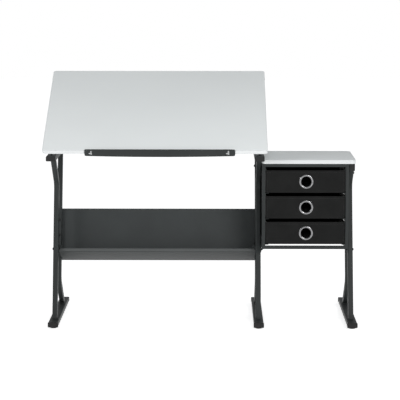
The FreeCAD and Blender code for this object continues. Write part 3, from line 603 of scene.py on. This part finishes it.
def fine_outline(width, depth, radius, spacing):
    """A rounded rectangle whose straight sides are divided evenly."""
    corners = rounded_outline(width, depth, radius, 5)
    points = []
    for index, start in enumerate(corners):
        end = corners[(index + 1) % len(corners)]
        count = max(1, round((end - start).length / spacing))
        points += [start.lerp(end, step / count) for step in range(count)]
    return points


def soft_shift(point, seed, amount):
    """A small, slow in-and-out of the cloth over its board."""
    sample = Vector((point.x * 9 + seed, point.y * 9, point.z * 14))
    return amount * (noise.noise(sample) - 0.15)


def drawer_shell(index):
    """The fabric-covered box, with its cloth pulled softly over the board and a rolled rim."""
    node = f"drawer_{index}_box"
    low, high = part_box(node)
    size = high - low
    centre = (low + high) / 2
    bm = bmesh.new()
    base = fine_outline(size.x, size.y, DRAWER_CORNER, 12 * MM)
    loops = []
    for inset, height, soft in wall_rings(size.z):
        ring = []
        for flat in base:
            shrink = Vector((1 - 2 * inset / size.x, 1 - 2 * inset / size.y))
            point = Vector((flat.x * shrink.x, flat.y * shrink.y, height))
            outward = Vector((round(flat.x / size.x * 2.02), round(flat.y / size.y * 2.02), 0))
            point -= outward * abs(soft_shift(point, index * 7.3, CLOTH_SLACK)) * soft
            ring.append(point)
        loops.append(ring)
    skin_rings(bm, loops)
    shell = finish_mesh(bm, f"drawer_{index}_cloth_box", 40)
    shell.data.transform(Matrix.Translation((centre.x, centre.y, low.z)))
    grommet_low, grommet_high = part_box(f"drawer_{index}_grommet")
    hole_centre = (grommet_low + grommet_high) / 2
    cut_round_hole(shell, Vector((hole_centre.x, low.y, hole_centre.z)), CLOTH_HOLE_R)
    return dress(shell, M["black_fabric"], "black_fabric", f"drawer_{index}", node)


def cut_round_hole(piece, centre, radius):
    """Cut a hole along Y through the wall at centre."""
    cutter = lathe("hole_cutter", [(radius, -0.01), (radius, 0.01)], 64, closed=False)
    subtract(piece, [place(cutter, centre, (0, 1, 0))])


def capsule_verts(bm, centre, along, half, radius):
    """One stitch: a short six-sided bead with pinched ends."""
    along = along.normalized()
    side = along.orthogonal().normalized()
    other = along.cross(side)
    rings = []
    for step, girth in ((-1.0, 0.25), (-0.6, 0.9), (0.0, 1.0), (0.6, 0.9), (1.0, 0.25)):
        ring = []
        for turn in range(6):
            angle = math.pi / 3 * turn
            offset = (side * math.cos(angle) + other * math.sin(angle)) * radius * girth
            ring.append(centre + along * half * step + offset)
        rings.append(ring)
    skin_rings(bm, rings)


def drawer_stitching(index):
    """A row of stitches that holds the hem below the rim, and one down each front corner."""
    low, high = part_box(f"drawer_{index}_box")
    centre = (low + high) / 2
    size = high - low
    bm = bmesh.new()
    outline = fine_outline(size.x + 0.1 * MM, size.y + 0.1 * MM, DRAWER_CORNER, STITCH_PITCH)
    level = high.z - HEM_DROP
    for spot, start in enumerate(outline):
        end = outline[(spot + 1) % len(outline)]
        if (end - start).length < STITCH_PITCH * 0.6:
            continue
        middle = start.lerp(end, 0.5)
        point = Vector((centre.x + middle.x, centre.y + middle.y, level))
        capsule_verts(bm, point, Vector((end.x - start.x, end.y - start.y, 0)), STITCH_HALF, STITCH_R)
    count = int((size.z - 22 * MM) / STITCH_PITCH)
    for side in (-1, 1):
        x = centre.x + side * (size.x / 2 - 7 * MM)
        for step in range(count):
            point = Vector((x, low.y - 0.05 * MM, low.z + 8 * MM + step * STITCH_PITCH))
            capsule_verts(bm, point, Vector((0, 0, 1)), STITCH_HALF, STITCH_R)
    stitches = finish_mesh(bm, f"drawer_{index}_stitching", 60)
    return dress(stitches, M["thread"], "black_fabric", f"drawer_{index}")


def drawer_grommet(index):
    """A pressed eyelet with a rounded face, a smooth throat and a curled rim behind the cloth."""
    node = f"drawer_{index}_grommet"
    low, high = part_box(node)
    centre = (low + high) / 2
    outer = (high.x - low.x) / 2
    hole = outer - EYELET_W
    depth = high.y - low.y
    profile = []
    steps = 10
    for step in range(steps + 1):
        angle = math.pi * step / steps
        radius = (outer + hole) / 2 + (outer - hole) / 2 * math.cos(angle)
        profile.append((radius, EYELET_CROWN * math.sin(angle) ** 0.8))
    profile += [(hole, -depth + 4.0 * MM), (hole + 0.8 * MM, -depth + 2.9 * MM)]
    profile += [(hole + 3.0 * MM, -depth + 2.6 * MM), (hole + 4.4 * MM, -depth + 3.6 * MM)]
    profile += [(hole + 1.0 * MM, -depth + 4.0 * MM), (hole + 1.0 * MM, -0.1 * MM)]
    ring = lathe(f"drawer_{index}_eyelet", profile, 72)
    place(ring, Vector((centre.x, low.y + EYELET_CROWN, centre.z)), (0, -1, 0))
    return dress(ring, M["nickel_grommet"], "nickel_grommet", f"drawer_{index}", node)


# ---------------------------------------------------------------- folded sheet

def rounded_path(corners, radius, steps=5):
    """A chain of straight runs with each inner corner turned into an arc."""
    points = [corners[0]]
    for before, corner, after in zip(corners, corners[1:], corners[2:]):
        back = (before - corner).normalized()
        ahead = (after - corner).normalized()
        half = back.angle(ahead) / 2
        reach = min(radius / math.tan(half), (before - corner).length * 0.45, (after - corner).length * 0.45)
        bend_r = reach * math.tan(half)
        middle = corner + (back + ahead).normalized() * (bend_r / math.sin(half))
        start = corner + back * reach - middle
        sweep = start.angle(corner + ahead * reach - middle)
        axis = start.to_3d().cross((corner + ahead * reach - middle).to_3d()).normalized()
        for step in range(steps + 1):
            turn = Matrix.Rotation(sweep * step / steps, 3, axis)
            points.append(middle + (turn @ start.to_3d()).to_2d())
    points.append(corners[-1])
    return points


def strip_loop(path, thickness):
    """A closed outline round a path, half the thickness to each side."""
    left, right = [], []
    for index, point in enumerate(path):
        before = path[max(index - 1, 0)]
        after = path[min(index + 1, len(path) - 1)]
        along = (after - before).normalized()
        across = Vector((-along.y, along.x)) * thickness / 2
        left.append(point + across)
        right.append(point - across)
    return left + right[::-1]


def sheet_strip(name, corners, thickness, x_limits, bend_r):
    """A folded sheet: a path in Y and Z given thickness and stretched along X."""
    loop = strip_loop(rounded_path([Vector(c) for c in corners], bend_r), thickness)
    bm = bmesh.new()
    half = (x_limits[1] - x_limits[0]) / 2
    middle = (x_limits[1] + x_limits[0]) / 2
    rings = []
    for share in (-1.0, -0.999, -0.5, 0.0, 0.5, 0.999, 1.0):
        rings.append([Vector((middle + half * share, p.x, p.y)) for p in loop])
    skin_rings(bm, rings)
    return finish_mesh(bm, name, 30)


def trough_corners():
    """The fold lines of the book trough in Y and Z, read from the CAD sheet's own mesh."""
    points = [v.co for v in NODES["book_trough"].data.vertices]
    low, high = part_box("book_trough")
    front = min(p.y for p in points)
    lip_low = min(p.z for p in points if p.y < front + 0.2 * MM)
    lip_high = max(p.z for p in points if p.y < front + 0.2 * MM)
    top_front = min(p.y for p in points if p.z > high.z - 0.2 * MM)
    vertex_y = max(p.y for p in points if p.z < low.z + 2.5 * MM)
    return front, lip_low, lip_high, (vertex_y, low.z), (top_front, high.z), high.y


def make_trough():
    """The trough as three folded strips: the back panel, the front panel and the hem on its lip; the back
    panel and the hem wear lighter copies of the coat that paint a reflection and a highlight.
    """
    front, lip_low, lip_high, vertex, top, back = trough_corners()
    low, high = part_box("book_trough")
    ears = islands("trough_ears")
    x_front = (ears[0][0].x + 2.4 * MM, ears[-1][1].x - 2.4 * MM)
    half = SHEET_T / 2
    spine = (vertex[0] - 1.2 * MM, vertex[1] + 1.6 * MM)
    back_path = [
        (spine[0] - 0.5 * MM, spine[1] + half),
        (top[0] + half, top[1] - half),
        (back - half, top[1] - half),
        (back - half, top[1] - 9 * MM),
    ]
    lip_path = [
        (spine[0] + 4 * MM, spine[1] + 12 * MM),
        spine,
        (front + half + 0.5 * MM, lip_low + half),
        (front + half + 2.5 * MM, lip_low + 4 * MM),
    ]
    hem_path = [
        (front + half + 8 * MM, lip_low + 3 * MM),
        (front + half, lip_low + 1.2 * MM),
        (front + half, lip_high - half),
        (front + half + 6 * MM, lip_high - half),
        (front + half + 6 * MM, lip_high - 8 * MM),
    ]
    # The back panel wears the lighter copy of the coat, whose raised tint paints a reflection on it.
    panel = sheet_strip("trough_back", back_path, SHEET_T, (low.x, high.x), 2.5 * MM)
    dress(panel, M["sheet_coat_painted_reflection"], "powder_coat", "frame", "book_trough")
    lip = sheet_strip("trough_front", lip_path, SHEET_T, x_front, 1.5 * MM)
    dress(lip, M["powder_coat"], "powder_coat", "frame")
    # The hem wears the much lighter copy of the coat, which paints the highlight on its rolled edge.
    hem = sheet_strip("trough_hem", hem_path, SHEET_T, x_front, 1.8 * MM)
    dress(hem, M["hem_coat_painted_highlight"], "powder_coat", "frame")


# ---------------------------------------------------------------- fasteners and welds

def socket_head(name, radius, height):
    """A button head with a hexagonal socket, seat at the origin and crown along +Z."""
    segments = 48
    bm = bmesh.new()
    crown = [(radius, 0), (radius, height * 0.25), (radius * 0.93, height * 0.55)]
    crown += [(radius * 0.75, height * 0.85), (radius * 0.55, height)]
    rings = [turned_ring(segments, z, lambda angle, r=r: r) for r, z in crown]
    for z in (height, height * 0.35):
        rings.append(turned_ring(segments, z, lambda angle: hex_reach(radius * 0.36, angle)))
    skin_rings(bm, rings)
    return finish_mesh(bm, name, 35)


def cross_head(name, radius, height):
    """A pan head with a cross recess, seat at the origin and crown along +Z."""
    head = lathe(name, [
        (radius, 0), (radius, height * 0.4), (radius * 0.9, height * 0.75), (radius * 0.65, height * 0.95),
        (radius * 0.1, height),
    ], 48, closed=False)
    arms = []
    for turn in (0, math.pi / 2):
        bm = bmesh.new()
        bmesh.ops.create_cube(bm, size=1.0)
        scale = Matrix.Diagonal((radius * 1.1, radius * 0.22, height * 0.9, 1))
        lift = Matrix.Translation((0, 0, height))
        bmesh.ops.transform(bm, matrix=Matrix.Rotation(turn, 4, "Z") @ lift @ scale, verts=bm.verts)
        arms.append(finish_mesh(bm, "recess"))
    subtract(head, arms)
    return head


def washer(name, radius, hole, thickness):
    """A flat washer with softly rounded rims, lying on the origin."""
    rim = thickness * 0.3
    profile = [(hole, 0), (radius - rim, 0), (radius, rim), (radius, thickness - rim)]
    profile += [(radius - rim, thickness), (hole, thickness)]
    return lathe(name, profile, 40)


def hex_nut(name, corner, height):
    """A hexagonal nut with chamfered corners, lying on the origin."""
    segments = 60
    flat = corner * math.cos(math.pi / 6)
    bm = bmesh.new()
    rings = []
    for share, z in ((0.0, 0.0), (1.0, 0.12), (1.0, 0.88), (0.0, 1.0)):
        limit = flat * 0.96 + (corner - flat * 0.96) * share
        rings.append(turned_ring(
            segments, z * height, lambda angle, limit=limit: min(hex_reach(flat, angle), limit)))
    skin_rings(bm, rings)
    return finish_mesh(bm, name, 30)


def threaded_shank(name, radius, length, pitch=1.0 * MM):
    """A shank whose far half is cut with a thread, from the origin along +Z."""
    profile = [(radius, 0), (radius, length * 0.4)]
    z = length * 0.4
    while z < length - 2 * pitch:
        profile += [(radius * 0.86, z + pitch * 0.5), (radius, z + pitch)]
        z += pitch
    profile += [(radius * 0.8, length - 0.3 * MM), (radius * 0.65, length)]
    return lathe(name, profile, 20, closed=False)


def axis_of(low, high):
    """The direction, 0 to 2, in which a box is longest."""
    size = high - low
    return max(range(3), key=lambda axis: size[axis])


def broad_levels(points, middle, axis):
    """Where along its axis a plain bolt is wider than its shank: the faces of its head and nut."""
    levels = set()
    for point in points:
        offset = point - middle
        offset[axis] = 0
        if offset.length > BROAD_R:
            levels.add(round(point[axis], 4))
    return sorted(levels)


def make_bolts(node):
    """Button-head bolts with washers and nuts in place of the CAD node's plain bolts."""
    collar = washer("washer", WASHER_R, WASHER_HOLE, WASHER_T)
    head = socket_head("head", BOLT_HEAD_R, BOLT_HEAD_H)
    nut = hex_nut("nut", NUT_CORNER, NUT_H)
    patterns = [collar, head, nut]
    stamps = []
    for low, high, points in islands(node):
        axis = axis_of(low, high)
        middle = (low + high) / 2
        broad = broad_levels(points, middle, axis)
        sign = -1 if abs(broad[0] - low[axis]) < 0.3 * MM else 1
        ends = broad if sign < 0 else broad[::-1]
        crown = Vector((0, 0, 0))
        crown[axis] = sign
        seat = middle.copy()
        seat[axis] = ends[1]
        length = (high - low)[axis] - abs(ends[1] - ends[0])
        shank = threaded_shank("shank", BOLT_SHANK_R, length)
        patterns.append(shank)
        stamps += [(collar, standing(seat, crown)), (head, standing(seat + crown * WASHER_T, crown))]
        stamps.append((shank, standing(seat, -crown)))
        if len(ends) > 3:
            under = middle.copy()
            under[axis] = ends[2]
            stamps.append((nut, standing(under, -crown)))
    bolts = stamp(node + "_set", stamps)
    for pattern in patterns:
        bpy.data.objects.remove(pattern)
    return dress(bolts, M["black_oxide"], "black_oxide", "frame", node)


def make_screws(node, body, axes, crown):
    """Cross-head screws in place of the CAD node's plain ones; crown is where their heads face."""
    head = cross_head("head", SCREW_HEAD_R, SCREW_HEAD_H)
    patterns = [head]
    stamps = []
    axis = max(range(3), key=lambda i: abs(crown[i]))
    for low, high, _ in islands(node, axes):
        middle = (low + high) / 2
        seat = middle.copy()
        seat[axis] = (high if crown[axis] > 0 else low)[axis] - crown[axis] * SCREW_SEAT
        length = (high - low)[axis] - SCREW_SEAT
        shank = threaded_shank("shank", SCREW_SHANK_R, length, SCREW_PITCH)
        patterns.append(shank)
        stamps += [(head, standing(seat, crown)), (shank, standing(seat, -crown))]
    screws = stamp(node + "_set", stamps, axes)
    for pattern in patterns:
        bpy.data.objects.remove(pattern)
    return dress(screws, M["zinc_steel"], "zinc_steel", body, node)


# ---------------------------------------------------------------- knobs and feet

def star_knob(side):
    """A five-lobed clamp knob with softly rounded lobes and a sunk centre."""
    node = f"clamp_knob_{side}"
    low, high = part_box(node)
    outward = -1 if side == "left" else 1
    length = high.x - low.x
    reach = (high.y - low.y) / 2
    profile = [(0.70, 0.0), (0.86, 0.03), (0.95, 0.12), (0.99, 0.3), (1.0, 0.5), (0.985, 0.68)]
    profile += [(0.93, 0.82), (0.82, 0.92), (0.66, 0.98), (0.55, 1.0), (0.50, 0.985), (0.47, 0.90)]
    segments = 100
    bm = bmesh.new()
    rings = []
    for share, along in profile:
        lobe = 0.14 * min(1.0, max(0.0, (share - 0.5) / 0.4))
        ring = []
        for step in range(segments):
            angle = 2 * math.pi * step / segments
            wave = 0.5 + 0.5 * math.cos(KNOB_LOBES * (angle - math.radians(18)))
            radius = reach * 0.965 * share * (1 - lobe * (1 - wave ** 0.7))
            ring.append(Vector((along * length, radius * math.cos(angle), radius * math.sin(angle))))
        rings.append(ring)
    skin_rings(bm, rings)
    knob = finish_mesh(bm, f"knob_{side}", 50)
    if outward < 0:
        knob.data.transform(Matrix.Diagonal((-1, 1, 1, 1)))
        knob.data.flip_normals()
    base = Vector((high.x if outward < 0 else low.x, (low.y + high.y) / 2, (low.z + high.z) / 2))
    knob.data.transform(Matrix.Translation(base))
    return dress(knob, M["black_plastic"], "black_plastic", f"knob_{side}", node)


def leveler_foot(node):
    """A moulded pad with a finger-grip rim on a threaded stem."""
    low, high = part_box(node)
    pad = (high.x - low.x) / 2
    rows = [(0.88, 0.0, 0), (0.96, 0.4, 0.5), (1.0, 1.3, 1), (1.0, 3.4, 1)]
    rows += [(0.96, 4.4, 0.5), (0.86, 4.95, 0)]
    rows += [(0.58, 5.1, 0), (0.50, 5.5, 0), (0.48, 6.4, 0), (0.275, 6.6, 0)]
    segments = 96
    rings = []
    for share, height, grip in rows:
        def gripped(angle, share=share, grip=grip):
            groove = 0.5 - 0.5 * math.cos(GRIP_GROOVES * angle)
            return pad * share * (1 - 0.035 * grip * groove)

        rings.append(turned_ring(segments, height * MM, gripped))
    bm = bmesh.new()
    skin_rings(bm, rings)
    foot = finish_mesh(bm, node + "_pad", 40)
    stem = threaded_shank("stem", STEM_R, high.z - STEM_BASE, STEM_PITCH)
    centre = Vector(((low.x + high.x) / 2, (low.y + high.y) / 2, low.z))
    up = Vector((0, 0, 1))
    stamps = [(foot, standing(centre, up)), (stem, standing(centre + up * STEM_BASE, up))]
    whole = stamp(node + "_foot", stamps)
    bpy.data.objects.remove(foot)
    bpy.data.objects.remove(stem)
    slot = next(part["material_slot"] for part in RECORD["subparts"] if part["node"] == node)
    return dress(whole, M[slot], slot, node, node)


# ---------------------------------------------------------------- frame details

def weld_ring(bm, box, z):
    """A rippled bead round a leg where it meets a tube."""
    x0, x1, y0, y1 = box
    outline = rounded_outline(x1 - x0 + 0.6 * MM, y1 - y0 + 0.6 * MM, 4.0 * MM, 4)
    path = []
    for index, start in enumerate(outline):
        end = outline[(index + 1) % len(outline)]
        count = max(1, round((end - start).length / (1.1 * MM)))
        path += [start.lerp(end, step / count) for step in range(count)]
    rings = []
    for index, point in enumerate(path):
        ahead = path[(index + 1) % len(path)] - path[index - 1]
        outward = Vector((ahead.y, -ahead.x)).normalized()
        wander = noise.noise(Vector((index * 0.7, z * 50, 0)))
        girth = WELD_R * (1 + 0.16 * math.sin(index * 1.9) + 0.10 * wander)
        centre = Vector(((x0 + x1) / 2 + point.x, (y0 + y1) / 2 + point.y, z))
        ring = []
        for turn in range(8):
            angle = math.pi / 4 * turn
            rise = Vector((0, 0, girth * math.sin(angle)))
            ring.append(centre + outward.to_3d() * girth * math.cos(angle) + rise)
        rings.append(ring)
    rings.append(rings[0])
    skin_rings(bm, rings, close_ends=False)


def make_welds():
    """A bead at the top and bottom of every leg."""
    bm = bmesh.new()
    for name in ("left", "mid", "right"):
        for end in ("front", "rear"):
            node = f"{name}_{end}_leg"
            low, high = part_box(node)
            for z in (low.z, high.z):
                weld_ring(bm, section_box(node, z), z)
    bmesh.ops.remove_doubles(bm, verts=bm.verts, dist=0.00001)
    welds = finish_mesh(bm, "leg_welds", 60)
    dress(welds, M["weld"], "powder_coat", "frame")


# ---------------------------------------------------------------- studio

def make_camera():
    """A long lens in front of the table, a little above it and looking slightly down."""
    camera = bpy.data.cameras.new("camera")
    camera.lens = CAMERA_LENS
    camera.sensor_width = CAMERA_SENSOR
    camera.clip_end = 100
    holder = bpy.data.objects.new("camera", camera)
    holder.location = CAMERA_AT
    holder.rotation_euler = (math.radians(90 - CAMERA_DOWN), 0, math.radians(CAMERA_TURN))
    bpy.context.scene.collection.objects.link(holder)
    bpy.context.scene.camera = holder


def area_light(name, place_at, aim, size, power):
    light = bpy.data.lights.new(name, "AREA")
    light.shape = "RECTANGLE"
    light.size = size[0]
    light.size_y = size[1]
    light.energy = power
    holder = bpy.data.objects.new(name, light)
    holder.location = place_at
    direction = Vector(aim) - Vector(place_at)
    holder.rotation_euler = direction.to_track_quat("-Z", "Y").to_euler()
    bpy.context.scene.collection.objects.link(holder)


def make_world():
    """A white room that is bright round the horizon and dimmer overhead."""
    world = bpy.data.worlds.new("studio")
    world.use_nodes = True
    nodes, links = world.node_tree.nodes, world.node_tree.links
    where = nodes.new("ShaderNodeTexCoord")
    split = nodes.new("ShaderNodeSeparateXYZ")
    ramp = nodes.new("ShaderNodeValToRGB")
    ramp.color_ramp.elements[0].position = 0.05
    ramp.color_ramp.elements[0].color = HORIZON
    ramp.color_ramp.elements[1].position = 0.20
    ramp.color_ramp.elements[1].color = OVERHEAD
    links.new(where.outputs["Generated"], split.inputs["Vector"])
    links.new(split.outputs["Z"], ramp.inputs["Fac"])
    links.new(ramp.outputs["Color"], nodes["Background"].inputs["Color"])
    nodes["Background"].inputs["Strength"].default_value = 1.0
    bpy.context.scene.world = world


def make_studio():
    """The floor, two soft lights in front of the table and the room round it."""
    bm = bmesh.new()
    bmesh.ops.create_grid(bm, x_segments=8, y_segments=8, size=14.0)
    floor = finish_mesh(bm, "studio_floor")
    floor.data.materials.append(floor_white())
    area_light("key", (2.2, -4.2, 2.4), (0, 0, 0.6), (1.6, 1.4), KEY_POWER)
    area_light("fill", (-2.6, -3.4, 2.0), (-0.2, 0, 0.5), (1.0, 1.0), FILL_POWER)
    make_world()


make_camera()
make_studio()
paint_cad_nodes()
make_board("drawing_top", "main_top", "drawing_surface", BOARD_CORNER, "drawing_board")
make_board("side_top", "side_top", "side_surface", SIDE_CORNER, "frame")
for number in (1, 2, 3):
    drawer_shell(number)
    drawer_stitching(number)
    drawer_grommet(number)
make_trough()
make_welds()
for node in ("trough_bolts", "cage_bolts", "hinge_bolts"):
    make_bolts(node)
FORWARD = Vector((0, -1, 0))
DOWN = Vector((0, 0, -1))
BOARD_AXES = board_axes(MOUNTS["drawing_surface"])
make_screws("ledge_screws", "drawing_board", BOARD_AXES, FORWARD)
make_screws("board_screws", "drawing_board", BOARD_AXES, DOWN)
make_screws("side_top_screws", "frame", Matrix.Identity(4), DOWN)
for side in ("left", "right"):
    star_knob(side)
for side in ("left", "mid", "right"):
    for end in ("front", "rear"):
        leveler_foot(f"leveler_{side}_{end}")

bpy.context.scene.view_settings.view_transform = "Standard"
